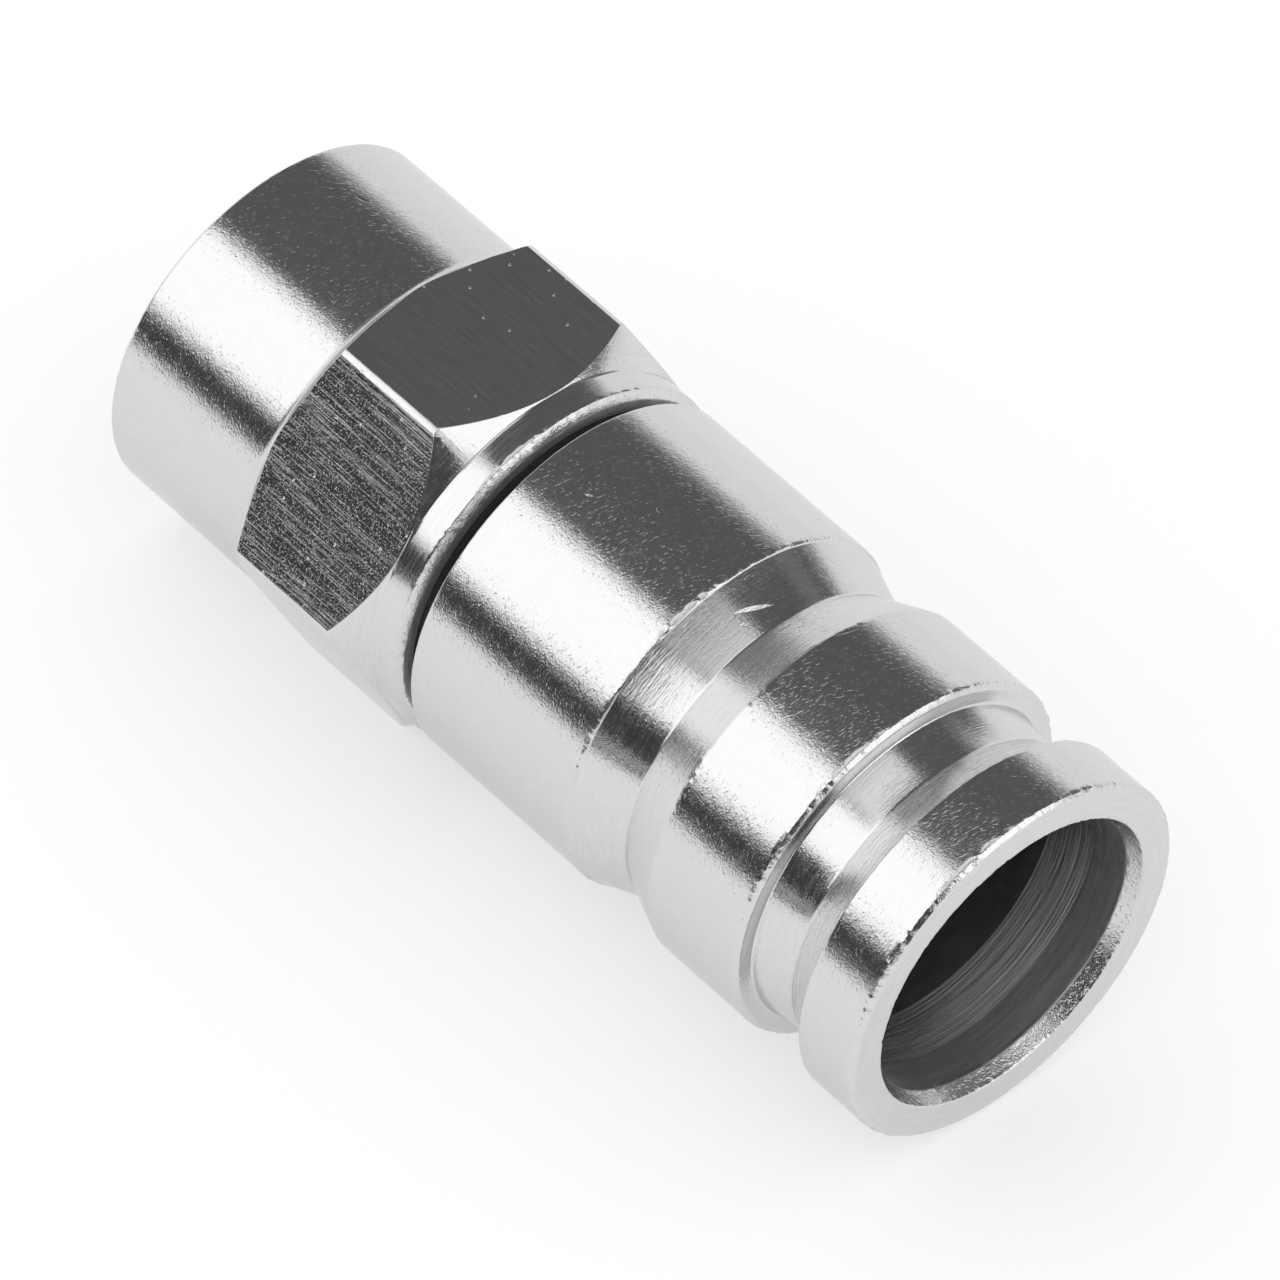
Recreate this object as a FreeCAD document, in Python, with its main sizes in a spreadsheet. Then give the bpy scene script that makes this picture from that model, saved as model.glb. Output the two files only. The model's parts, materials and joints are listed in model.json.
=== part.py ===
"""F connector for coaxial cable, before compression: coupling nut, body, inner post and seal ring.

Millimetres. The connector lies on one flat of its hexagon: +Z is up, +X runs along its axis from the mating
end to the cable end, and the origin is on the table under the middle of its length. Inside each sub-part, x is
the distance from the mating face and the axis of revolution is the x axis.
"""
import FreeCAD, Part
import math
import os
from types import SimpleNamespace

import Sketcher

# Driving dimensions: alias, value, meaning.
SIZES = [
    # Coupling nut, outside
    ("across_flats", 11.0, "hexagon, wrench size"),
    ("hex_corner_break", 0.056, "how much is turned off each corner of the hexagon"),
    ("skirt_wall", 1.065, "from the thread's bore to the outside of the skirt"),
    ("skirt_length", 5.46, "mating face to the root of the front corner chamfer"),
    ("skirt_edge_break", 0.08, "chamfer on the skirt's front rim"),
    ("hex_length", 4.90, "root of the front corner chamfer to the collar"),
    ("hex_front_angle", 30.0, "front corner chamfer, degrees from the plane of the mating face"),
    ("hex_rear_angle", 45.0, "rear corner chamfer, degrees from the plane of the mating face"),
    ("hex_root_radius", 0.45, "tool radius between skirt and corner chamfer"),
    ("collar_length", 0.92, "collar with its chamfer"),
    ("collar_chamfer", 0.16, "rear chamfer of the collar"),
    # Coupling nut, inside
    ("thread_minor_diameter", 8.73, "bore of the 3/8-32 UNEF thread, before threading"),
    ("thread_countersink", 0.50, "chamfer of the bore at the mating face"),
    ("undercut_depth", 0.485, "recess behind the thread, from the thread's bore"),
    ("undercut_length", 2.20, "end of the thread to the retaining lip"),
    ("lip_thickness", 0.65, "retaining lip"),
    ("counterbore_depth", 1.03, "rear recess that holds the seal ring"),
    ("seal_room", 0.87, "radial, from the body's nose to the wall of the rear recess"),
    ("collar_wall", 0.59, "wall of the short round collar, outside the rear recess"),
    # Clearances
    ("flange_clearance", 0.115, "radial, post's flange through the thread's bore at assembly"),
    ("nut_spin_clearance", 0.08, "radial, retaining lip on the post's shank"),
    ("nut_end_play", 0.10, "post's flange to retaining lip"),
    ("nose_end_play", 0.20, "retaining lip to the body's nose"),
    ("nut_gap", 0.49, "open gap between nut and body"),
    ("seal_clearance", 0.015, "seal ring to the nose and to the rear recess"),
    # Inner post
    ("post_flange_thickness", 1.05, "contact flange"),
    ("post_flange_edge_break", 0.12, "chamfer on the contact face"),
    ("post_bore_diameter", 4.90, "bore for the cable's dielectric"),
    ("shank_diameter", 6.70, "pressed into the body"),
    ("shank_tail", 0.30, "how far the shank stands out of the body's web"),
    ("tube_wall", 0.40, "thin tube under the cable's braid"),
    ("tube_length", 7.30, "shank to the open end of the tube"),
    ("tube_end_wall", 0.15, "tube's wall at its open end"),
    ("barb_height", 0.30, "crest of the barb over the tube"),
    ("barb_length", 1.40, "gentle rear ramp of the barb"),
    ("barb_face", 0.15, "steep front face of the barb"),
    # Body, outside
    ("nose_diameter", 8.00, "front nose inside the nut's rear recess"),
    ("body_diameter", 10.90, "both barrels and the flange"),
    ("barrel_length", 6.00, "front barrel"),
    ("barrel_edge_break", 0.06, "front rim of the front barrel"),
    ("neck_step", 0.07, "step from the front barrel down to the neck"),
    ("neck_depth", 0.61, "narrowest part of the neck, from the barrels' surface"),
    ("neck_length", 1.53, "tapered neck"),
    ("shoulder_length", 1.53, "cone from the neck up to the second barrel"),
    ("second_barrel_length", 3.23, "second barrel with its rear chamfer"),
    ("second_barrel_chamfer", 0.10, "rear rim of the second barrel"),
    ("groove_step", 0.58, "step from the second barrel down to the rear groove"),
    ("groove_depth", 0.75, "deepest part of the rear groove, from the barrels' surface"),
    ("groove_length", 1.27, "tapered floor of the rear groove"),
    ("groove_ramp", 1.09, "cone from the groove's floor to the flange"),
    ("flange_step", 0.35, "flange over the top of the groove's ramp, radial"),
    ("flange_length", 1.95, "rear flange with its chamfer"),
    ("flange_chamfer", 0.12, "rear rim of the flange"),
    # Body, inside
    ("web_length", 2.25, "web that holds the post, behind the nose's front face"),
    ("cable_bore_diameter", 8.10, "bore over the cable's jacket"),
    ("folding_wall", 0.39, "thin wall of the neck that folds when compressed"),
    ("relief_lead", 0.75, "how far the thin wall's relief reaches in front of the neck"),
    ("relief_length", 3.40, "relief behind the thin wall"),
    ("mouth_cone_length", 1.37, "cone between the cable bore and the mouth"),
    ("mouth_step", 0.20, "mouth over the cable bore, radial"),
    ("mouth_length", 1.08, "straight stretch of the mouth"),
    ("lead_in_step", 0.18, "lead-in over the mouth, radial"),
    ("lead_in_length", 0.49, "tapered lead-in at the rear face"),
]


class Size:
    """A number together with the sheet expression that gives it, so both stay in step."""

    def __init__(self, number, text):
        self.number = number
        self.text = text

    def __add__(self, other):
        return Size(self.number + other.number, f"({self.text} + {other.text})")

    def __sub__(self, other):
        return Size(self.number - other.number, f"({self.text} - {other.text})")

    def __mul__(self, other):
        return Size(self.number * other.number, f"({self.text} * {other.text})")

    def __truediv__(self, divisor):
        return Size(self.number / divisor, f"({self.text} / {divisor})")

    def tan(self):
        return Size(math.tan(math.radians(self.number)), f"tan({self.text})")


ZERO = Size(0.0, "0")
HEXAGON_SIDES = 6
CORNERS_OVER_FLATS = Size(1 / math.cos(math.radians(30.0)), "1 / cos(30)")


def make_sheet(doc):
    """Write the driving dimensions to the sheet and return them as Size values by name."""
    sheet = doc.addObject("Spreadsheet::Sheet", "Sizes")
    for row, (alias, value, meaning) in enumerate(SIZES, start=1):
        sheet.set(f"A{row}", alias)
        sheet.set(f"B{row}", str(value))
        sheet.setAlias(f"B{row}", alias)
        sheet.set(f"C{row}", meaning)
    doc.recompute()
    return SimpleNamespace(**{alias: Size(value, f"Sizes.{alias}") for alias, value, _ in SIZES})


def new_body(doc, name, lift, shift):
    """A sub-part whose axis lies at the height lift, with the mating face at minus shift."""
    body = doc.addObject("PartDesign::Body", name)
    body.Label = name
    body.setExpression(".Placement.Base.x", f"-{shift.text}")
    body.setExpression(".Placement.Base.z", lift.text)
    return body


def origin_plane(body, role):
    return next(item for item in body.Origin.OriginFeatures if item.Role == role)


def new_sketch(body, name, role):
    sketch = body.newObject("Sketcher::SketchObject", name)
    sketch.AttachmentSupport = [(origin_plane(body, role), "")]
    sketch.MapMode = "FlatFace"
    return sketch


def bind(sketch, constraint, size):
    index = sketch.addConstraint(constraint)
    sketch.setExpression(f"Constraints[{index}]", size.text)


def pin_point(sketch, element, end, across, up):
    """Hold one point of the sketch at its two distances from the sketch's origin."""
    if across is ZERO:
        sketch.addConstraint(Sketcher.Constraint("PointOnObject", element, end, -2))
    else:
        bind(sketch, Sketcher.Constraint("DistanceX", -1, 1, element, end, across.number), across)
    bind(sketch, Sketcher.Constraint("DistanceY", -1, 1, element, end, up.number), up)


def tangent_arc(before, corner, after, radius):
    """The arc of this radius that rounds the corner, and the two points where it meets the edges."""
    toward_before = (before - corner).normalize()
    toward_after = (after - corner).normalize()
    half_angle = toward_before.getAngle(toward_after) / 2
    setback = radius / math.tan(half_angle)
    middle = corner + (toward_before + toward_after).normalize() * (radius / math.sin(half_angle))
    first = corner + toward_before * setback
    last = corner + toward_after * setback
    crest = middle + (corner - middle).normalize() * radius
    return Part.Arc(first, crest, last), first, last


def closed_outline(sketch, corners):
    """Draw a closed outline through the corners, each held at its own two sizes.

    A corner may carry a third size, the radius that rounds it off.
    """
    points = [FreeCAD.Vector(corner[0].number, corner[1].number, 0) for corner in corners]
    count = len(points)
    starts = list(points)
    ends = points[1:] + points[:1]
    arcs = {}
    for index, corner in enumerate(corners):
        if len(corner) == 3:
            arc, first, last = tangent_arc(points[index - 1], points[index],
                                           points[(index + 1) % count], corner[2].number)
            ends[index - 1] = first
            starts[index] = last
            arcs[index] = sketch.addGeometry(arc, False)
    lines = [sketch.addGeometry(Part.LineSegment(start, end), False) for start, end in zip(starts, ends)]
    for index, corner in enumerate(corners):
        line_in, line_out = lines[index - 1], lines[index]
        if index in arcs:
            round_corner(sketch, arcs[index], line_in, line_out, corner)
        else:
            sketch.addConstraint(Sketcher.Constraint("Coincident", line_in, 2, line_out, 1))
            pin_point(sketch, line_out, 1, corner[0], corner[1])


def round_corner(sketch, arc, line_in, line_out, corner):
    """Hold the arc tangent to both lines, which still aim at the sharp corner."""
    across, up, radius = corner
    sharp = sketch.addGeometry(Part.Point(FreeCAD.Vector(across.number, up.number, 0)), True)
    pin_point(sketch, sharp, 1, across, up)
    sketch.addConstraint(Sketcher.Constraint("PointOnObject", sharp, 1, line_in))
    sketch.addConstraint(Sketcher.Constraint("PointOnObject", sharp, 1, line_out))
    start_point = sketch.getPoint(arc, 1)
    arc_starts_here = start_point.distanceToPoint(sketch.getPoint(line_in, 2)) < 1e-6
    arc_in, arc_out = (1, 2) if arc_starts_here else (2, 1)
    sketch.addConstraint(Sketcher.Constraint("Tangent", line_in, 2, arc, arc_in))
    sketch.addConstraint(Sketcher.Constraint("Tangent", arc, arc_out, line_out, 1))
    bind(sketch, Sketcher.Constraint("Radius", arc, radius.number), radius)


def revolve(body, sketch, name):
    turned = body.newObject("PartDesign::Revolution", name)
    turned.Profile = sketch
    turned.ReferenceAxis = (sketch, ["H_Axis"])
    turned.Angle = 360.0
    sketch.Visibility = False
    return turned


def turn(body, name, corners):
    """Turn a closed half section, given as (distance from the mating face, radius) corners."""
    sketch = new_sketch(body, f"{name}_section", "XZ_Plane")
    closed_outline(sketch, corners)
    return revolve(body, sketch, name)


def cut_hexagon(body, size):
    """Mill the six flats, from where the root's tool radius starts to the collar."""
    sketch = new_sketch(body, "hexagon", "YZ_Plane")
    start_of_flats = size.skirt_length - size.hex_root_radius
    sketch.setExpression(".AttachmentOffset.Base.z", start_of_flats.text)
    apothem = size.across_flats / 2
    corner = (apothem * CORNERS_OVER_FLATS).number
    angles = [2 * math.pi * index / HEXAGON_SIDES for index in range(HEXAGON_SIDES)]
    points = [FreeCAD.Vector(corner * math.cos(angle), corner * math.sin(angle), 0) for angle in angles]
    sides = [sketch.addGeometry(Part.LineSegment(start, end), False)
             for start, end in zip(points, points[1:] + points[:1])]
    for before, after in zip(sides, sides[1:] + sides[:1]):
        sketch.addConstraint(Sketcher.Constraint("Coincident", before, 2, after, 1))
    for side in sides[1:]:
        sketch.addConstraint(Sketcher.Constraint("Equal", sides[0], side))
    corner_circle = sketch.addGeometry(Part.Circle(FreeCAD.Vector(), FreeCAD.Vector(0, 0, 1), corner), True)
    sketch.addConstraint(Sketcher.Constraint("Coincident", corner_circle, 3, -1, 1))
    for side in sides:
        sketch.addConstraint(Sketcher.Constraint("PointOnObject", side, 1, corner_circle))
    sketch.addConstraint(Sketcher.Constraint("Horizontal", sides[1]))
    bind(sketch, Sketcher.Constraint("DistanceY", -1, 1, sides[1], 1, apothem.number), apothem)
    blank = sketch.addGeometry(Part.Circle(FreeCAD.Vector(), FreeCAD.Vector(0, 0, 1), 2 * corner), False)
    sketch.addConstraint(Sketcher.Constraint("Coincident", blank, 3, -1, 1))
    bind(sketch, Sketcher.Constraint("Radius", blank, 2 * apothem.number), size.across_flats)
    flats = body.newObject("PartDesign::Pocket", "flats")
    flats.Profile = sketch
    flats.Reversed = True
    flats.setExpression("Length", (size.hex_length + size.hex_root_radius).text)
    sketch.Visibility = False
    return flats


def make_nut(doc, size, at, lift, shift):
    """Coupling nut: turned blank with its bores and the tool radius at the hexagon's root, then the flats."""
    body = new_body(doc, "coupling_nut", lift, shift)
    thread = size.thread_minor_diameter / 2
    skirt = thread + size.skirt_wall
    countersink = thread + size.thread_countersink
    undercut = thread + size.undercut_depth
    collar = at.counterbore + size.collar_wall
    front_rise = (at.hex_corner - skirt) * size.hex_front_angle.tan()
    rear_fall = (at.hex_corner - collar) * size.hex_rear_angle.tan()
    turn(body, "blank", [
        (ZERO, countersink),
        (ZERO, skirt - size.skirt_edge_break),
        (size.skirt_edge_break, skirt),
        (size.skirt_length, skirt, size.hex_root_radius),
        (size.skirt_length + front_rise, at.hex_corner),
        (at.collar_start - rear_fall, at.hex_corner),
        (at.collar_start, collar),
        (at.nut_end - size.collar_chamfer, collar),
        (at.nut_end, collar - size.collar_chamfer),
        (at.nut_end, at.counterbore),
        (at.lip_end, at.counterbore),
        (at.lip_end, at.lip_bore),
        (at.lip_front, at.lip_bore),
        (at.lip_front, undercut),
        (at.thread_end, undercut),
        (at.thread_end, thread),
        (size.thread_countersink, thread),
    ])
    body.Tip = cut_hexagon(body, size)
    return body


def make_post(doc, size, at, lift, shift):
    """Inner post: contact flange, pressed shank, thin tube and one barb."""
    body = new_body(doc, "inner_post", lift, shift)
    bore = size.post_bore_diameter / 2
    flange = size.thread_minor_diameter / 2 - size.flange_clearance
    shank = size.shank_diameter / 2
    tube = bore + size.tube_wall
    flange_front = at.post_seat - size.post_flange_thickness
    crest = at.tube_end - size.barb_length
    turn(body, "post", [
        (flange_front, bore),
        (flange_front, flange - size.post_flange_edge_break),
        (flange_front + size.post_flange_edge_break, flange),
        (at.post_seat, flange),
        (at.post_seat, shank),
        (at.shank_end, shank),
        (at.shank_end, tube),
        (crest - size.barb_face, tube),
        (crest, tube + size.barb_height),
        (at.tube_end, bore + size.tube_end_wall),
        (at.tube_end, bore),
    ])
    return body


def make_connector_body(doc, size, at, lift, shift):
    """Body: nose, front barrel, neck, second barrel, groove, flange and the stepped cable mouth."""
    body = new_body(doc, "connector_body", lift, shift)
    barrel = size.body_diameter / 2
    neck = barrel - size.neck_depth
    nose = size.nose_diameter / 2
    shank = size.shank_diameter / 2
    cable = size.cable_bore_diameter / 2
    relief = neck - size.folding_wall
    mouth = cable + size.mouth_step
    turn(body, "turned", [
        (at.nose_start, shank),
        (at.nose_start, nose),
        (at.barrel_start, nose),
        (at.barrel_start, barrel - size.barrel_edge_break),
        (at.barrel_start + size.barrel_edge_break, barrel),
        (at.barrel_end, barrel),
        (at.barrel_end, barrel - size.neck_step),
        (at.neck_end, neck),
        (at.second_start, barrel),
        (at.second_end - size.second_barrel_chamfer, barrel),
        (at.second_end, barrel - size.second_barrel_chamfer),
        (at.second_end, barrel - size.groove_step),
        (at.groove_end, barrel - size.groove_depth),
        (at.flange_start, barrel - size.flange_step),
        (at.flange_start, barrel),
        (at.rear_face - size.flange_chamfer, barrel),
        (at.rear_face, barrel - size.flange_chamfer),
        (at.rear_face, mouth + size.lead_in_step),
        (at.mouth_end, mouth),
        (at.mouth_start, mouth),
        (at.mouth_start - size.mouth_cone_length, cable),
        (at.relief_end, cable),
        (at.relief_end, relief),
        (at.relief_start, relief),
        (at.relief_start, cable),
        (at.web_end, cable),
        (at.web_end, shank),
    ])
    return body


def make_seal(doc, size, at, lift, shift):
    """Seal ring: a round section between the nose and the nut's rear recess, midway in its room."""
    body = new_body(doc, "nut_seal_ring", lift, shift)
    nose = size.nose_diameter / 2
    middle = (nose + at.counterbore) / 2
    section = (at.counterbore - nose) / 2 - size.seal_clearance
    along = (at.lip_end + at.barrel_start) / 2
    sketch = new_sketch(body, "ring_section", "XZ_Plane")
    centre = FreeCAD.Vector(along.number, middle.number, 0)
    circle = sketch.addGeometry(Part.Circle(centre, FreeCAD.Vector(0, 0, 1), section.number), False)
    pin_point(sketch, circle, 3, along, middle)
    bind(sketch, Sketcher.Constraint("Radius", circle, section.number), section)
    revolve(body, sketch, "ring")
    return body


def find_stations(size):
    """Shared places: distances from the mating face, added up from the lengths, and shared radii."""
    at = SimpleNamespace()
    at.hex_corner = size.across_flats / 2 * CORNERS_OVER_FLATS - size.hex_corner_break
    at.lip_bore = size.shank_diameter / 2 + size.nut_spin_clearance
    at.counterbore = size.nose_diameter / 2 + size.seal_room
    at.collar_start = size.skirt_length + size.hex_length
    at.nut_end = at.collar_start + size.collar_length
    at.lip_end = at.nut_end - size.counterbore_depth
    at.lip_front = at.lip_end - size.lip_thickness
    at.thread_end = at.lip_front - size.undercut_length
    at.post_seat = at.lip_front - size.nut_end_play
    at.nose_start = at.lip_end + size.nose_end_play
    at.web_end = at.nose_start + size.web_length
    at.shank_end = at.web_end + size.shank_tail
    at.tube_end = at.shank_end + size.tube_length
    at.barrel_start = at.nut_end + size.nut_gap
    at.barrel_end = at.barrel_start + size.barrel_length
    at.relief_start = at.barrel_end - size.relief_lead
    at.relief_end = at.relief_start + size.relief_length
    at.neck_end = at.barrel_end + size.neck_length
    at.second_start = at.neck_end + size.shoulder_length
    at.second_end = at.second_start + size.second_barrel_length
    at.groove_end = at.second_end + size.groove_length
    at.flange_start = at.groove_end + size.groove_ramp
    at.rear_face = at.flange_start + size.flange_length
    at.mouth_end = at.rear_face - size.lead_in_length
    at.mouth_start = at.mouth_end - size.mouth_length
    return at


def check(doc, parts):
    """Stop if any object failed to build or any sub-part is empty or invalid."""
    for item in doc.Objects:
        if {"Invalid", "Error"} & set(item.State):
            raise RuntimeError(f"{item.Label}: {item.State}")
    for part in parts:
        if part.Shape.isNull() or not part.Shape.isValid() or len(part.Shape.Solids) != 1:
            raise RuntimeError(f"{part.Label}: bad shape")


def main():
    doc = FreeCAD.newDocument("f_connector")
    size = make_sheet(doc)
    at = find_stations(size)
    lift = size.across_flats / 2
    shift = at.rear_face / 2
    parts = [make(doc, size, at, lift, shift)
             for make in (make_nut, make_post, make_connector_body, make_seal)]
    doc.recompute()
    check(doc, parts)
    os.makedirs("parts", exist_ok=True)
    for part in parts:
        part.Shape.exportStep(f"parts/{part.Label}.step")
        box = part.Shape.BoundBox
        print(f"{part.Label}: volume {part.Shape.Volume:.2f}, x {box.XMin:.3f} to {box.XMax:.3f}, "
              f"z {box.ZMin:.3f} to {box.ZMax:.3f}")


main()
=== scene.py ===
"""F connector for coaxial cable: the finished surfaces of the nut, body, post and seal ring, and the stage.

The connector lies along X with its mating end at -X, resting on one flat of its hexagon at z = 0. Stations
are distances from the mating face along the axis. Angles round the axis go from +Y towards +Z.
"""

import json
import math

import bmesh
import bpy
from bpy.props import FloatProperty, FloatVectorProperty, IntProperty, PointerProperty
from mathutils import Matrix, Vector, noise


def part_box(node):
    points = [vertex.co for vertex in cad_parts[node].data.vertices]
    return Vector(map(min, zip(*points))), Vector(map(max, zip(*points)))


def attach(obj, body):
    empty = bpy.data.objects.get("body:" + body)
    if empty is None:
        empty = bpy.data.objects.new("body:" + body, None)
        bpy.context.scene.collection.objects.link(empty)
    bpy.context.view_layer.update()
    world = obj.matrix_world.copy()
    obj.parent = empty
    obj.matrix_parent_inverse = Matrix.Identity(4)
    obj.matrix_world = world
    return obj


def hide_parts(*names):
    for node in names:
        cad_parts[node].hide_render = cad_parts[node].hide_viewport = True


bl_info = {
    "name": "F Connector",
    "version": (1, 0, 0),
    "blender": (4, 5, 0),
    "location": "3D View > Sidebar > Connector",
    "description": "Builds the finished look of a compression F connector around its solids",
    "category": "Object",
}

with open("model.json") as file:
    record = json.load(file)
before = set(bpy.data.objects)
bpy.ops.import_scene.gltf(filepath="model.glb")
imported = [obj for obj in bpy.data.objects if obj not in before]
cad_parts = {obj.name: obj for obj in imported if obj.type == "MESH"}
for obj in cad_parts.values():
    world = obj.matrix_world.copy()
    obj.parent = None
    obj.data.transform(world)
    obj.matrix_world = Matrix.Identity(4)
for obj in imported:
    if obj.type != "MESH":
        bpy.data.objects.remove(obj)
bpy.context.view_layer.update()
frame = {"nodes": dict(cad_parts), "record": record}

MM = 0.001
THREAD_MOUNT = next(mount for mount in frame["record"]["mounts"] if mount["name"] == "mating_thread")
AXIS_HEIGHT = THREAD_MOUNT["pos_m"][2]
BORE = THREAD_MOUNT["dims"]["r_mm"] * MM
MATING_FACE_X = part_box("coupling_nut")[0].x
HEXAGON_SIDES = 6
SIXTH = math.tau / HEXAGON_SIDES
FIRST_FLAT_ANGLE = math.radians(90.0)
WHITE = (1.0, 1.0, 1.0, 1.0)
TABLE_CARD_GAP = 0.062
TABLE_CARD_HEIGHT = 0.4 * MM


def length(millimetres, description):
    """A size of the connector, stored in metres."""
    return FloatProperty(description=description, default=millimetres * MM, min=0.0, unit="LENGTH",
                         precision=6)


def at(millimetres, place):
    """A place along the axis, measured from the mating face."""
    return length(millimetres, f"Mating face to the {place}")


def angle(degrees, description):
    return FloatProperty(description=description, default=math.radians(degrees), subtype="ANGLE")


def share(value, description):
    return FloatProperty(description=description, default=value, min=0.0, max=1.0, subtype="FACTOR")


def brightness(value, thing):
    return FloatProperty(description=f"Brightness of the {thing}", default=value, min=0.0)


def colour(value, description):
    return FloatVectorProperty(description=description, default=value, size=3, min=0.0, max=1.0,
                               subtype="COLOR")


def labelled(group):
    """Give each property of a group a label made from its own name."""
    for name, value in group.__annotations__.items():
        value.keywords["name"] = name.replace("_", " ").title()
    return group


@labelled
class NutSizes(bpy.types.PropertyGroup):
    """Sizes of the coupling nut."""

    across_flats: length(11.0, "Hexagon, wrench size")
    corner_break: length(0.056, "How much is turned off each corner of the hexagon")
    skirt_wall: length(1.065, "From the thread's bore to the outside of the skirt")
    skirt_length: at(5.46, "root of the front corner chamfer")
    skirt_edge: length(0.08, "Chamfer on the skirt's front rim")
    hex_length: length(4.90, "Root of the front corner chamfer to the collar")
    front_angle: angle(30.0, "Front corner chamfer, from the plane of the mating face")
    root_radius: length(0.45, "Tool radius between skirt and corner chamfer")
    collar_radius: length(5.46, "Short round collar behind the hexagon")
    collar_length: length(0.92, "Collar with its chamfer")
    collar_chamfer: length(0.16, "Rear chamfer of the collar")
    countersink: length(0.50, "Chamfer of the bore at the mating face")
    undercut_radius: length(4.85, "Recess behind the thread")
    thread_end: at(7.40, "end of the thread")
    lip_front: at(9.60, "retaining lip")
    lip_end: at(10.25, "bottom of the rear recess")
    lip_radius: length(3.43, "Bore of the retaining lip")
    counterbore_radius: length(4.87, "Rear recess that holds the seal ring")
    thread_depth: length(0.40, "Bore of the thread to its root")
    thread_pitch: length(0.79375, "32 threads to the inch")
    columns_per_flat: IntProperty(description="Mesh columns on each flat", default=84)


@labelled
class BodySizes(bpy.types.PropertyGroup):
    """Sizes of the connector body."""

    nose_start: at(10.45, "nose")
    nose_radius: length(4.00, "Nose inside the nut's rear recess")
    shank_radius: length(3.35, "Bore that holds the post")
    web_end: at(12.70, "rear of the web that holds the post")
    barrel_start: at(11.77, "front of the barrel")
    barrel_end: at(17.77, "rear of the front barrel")
    radius: length(5.45, "Both barrels and the flange")
    neck_front: length(5.38, "Neck right behind the front barrel")
    neck_rear: length(4.84, "Narrowest part of the neck")
    neck_end: at(19.30, "narrowest part of the neck")
    second_start: at(20.83, "crest of the shoulder")
    second_end: at(24.06, "rear of the second barrel")
    groove_front: length(4.87, "Floor of the rear groove behind the second barrel")
    groove_rear: length(4.70, "Narrowest part of the rear groove")
    groove_end: at(25.33, "foot of the groove's ramp")
    ramp_radius: length(5.10, "Top of the groove's ramp at the flange")
    flange_start: at(26.42, "front of the flange")
    rear_face: length(28.37, "Whole length of the connector")
    cable_radius: length(4.05, "Bore over the cable's jacket")
    relief_radius: length(4.45, "Relief behind the thin folding wall")
    relief_start: at(17.02, "front of the relief")
    relief_end: at(20.42, "rear of the relief")
    cone_start: at(25.43, "front of the mouth's cone")
    mouth_start: at(26.80, "mouth's straight stretch")
    mouth_end: at(27.94, "mouth's lead-in")
    mouth_radius: length(4.25, "Straight stretch of the mouth")
    lead_in_radius: length(4.46, "Mouth at the rear face")
    columns: IntProperty(description="Mesh columns round the body", default=720)


@labelled
class PostSizes(bpy.types.PropertyGroup):
    """Sizes of the inner post."""

    flange_front: at(8.45, "contact face")
    seat: at(9.50, "rear of the flange")
    flange_radius: length(4.25, "Contact flange")
    bore_radius: length(2.45, "Bore for the cable's dielectric")
    shank_radius: length(3.35, "Pressed into the body")
    shank_end: at(13.00, "rear of the shank")
    tube_radius: length(2.85, "Thin tube under the cable's braid")
    barb_radius: length(3.15, "Crest of the barb")
    barb_start: at(18.90, "crest of the barb")
    barb_face: length(0.15, "Steep front face of the barb")
    tube_end: at(20.30, "open end of the tube")
    tube_end_radius: length(2.60, "Outside of the tube at its open end")
    columns: IntProperty(description="Mesh columns round the post", default=320)


@labelled
class FinishSettings(bpy.types.PropertyGroup):
    """Colours and surface finish of the plating and the seal."""

    nickel: colour((0.700, 0.698, 0.692), "Bright nickel plating")
    rubber: colour((0.018, 0.018, 0.019), "Black moulded rubber")
    edge_tint: share(0.88, "Nickel's reflection towards grazing")
    plating_roughness: share(0.13, "Blur of the tumbled plating")
    turned_roughness: share(0.15, "Blur of the turned grooves, under their marks")
    milled_roughness: share(0.11, "Blur of the hexagon's flats")
    bore_roughness: share(0.30, "Blur of the unpolished mouth")
    skin_height: length(0.0036, "Height of the tumbled skin's grain")
    mark_height: length(0.0080, "Height of the turning marks")
    grain_height: length(0.0011, "Height of the coarse grain on a flat")
    wear: share(0.13, "How dull the worn specks and strokes are")
    burr: length(0.042, "Unevenness of the rims")
    edge: length(0.022, "Softness of the turned edges")


@labelled
class StageSettings(bpy.types.PropertyGroup):
    """Camera, lamps and reflection cards."""

    lens: FloatProperty(description="Focal length on a 36 mm frame", default=337.5)
    distance: length(304.88, "Camera to the middle of the view")
    heading: angle(42.58, "Camera's direction, from +Y towards -X")
    elevation: angle(46.25, "Camera's height above the table")
    roll: angle(7.5, "Camera's turn about its own line of sight")
    aim: FloatVectorProperty(description="Point in the middle of the view", size=3, unit="LENGTH",
                             default=(0.285 * MM, -0.026 * MM, 5.482 * MM))
    floor_colour: colour((0.50, 0.50, 0.50), "Plain pale table")
    floor_glow: share(0.515, "How much the table is lifted towards white")
    sky: brightness(0.95, "white room")
    lamp_glow: brightness(0.35, "large soft lamp on the table")
    softbox_glow: brightness(1.45, "softboxes in reflections")
    overhead_shade: brightness(0.120, "dark card overhead")
    fade_shade: brightness(0.32, "strip beside the card overhead")
    strip_shade: brightness(0.20, "strip between two cards overhead")
    veil_shade: brightness(0.70, "thin cloth between the card overhead and the softbox")
    far_shade: brightness(0.26, "dark cards' far ends")
    low_shade: brightness(0.055, "dark card at the table's edge")
    camera_shade: brightness(0.07, "dark camera and its stand")
    card_distance: length(240.0, "Cards and lamp to the connector's axis")


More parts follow.
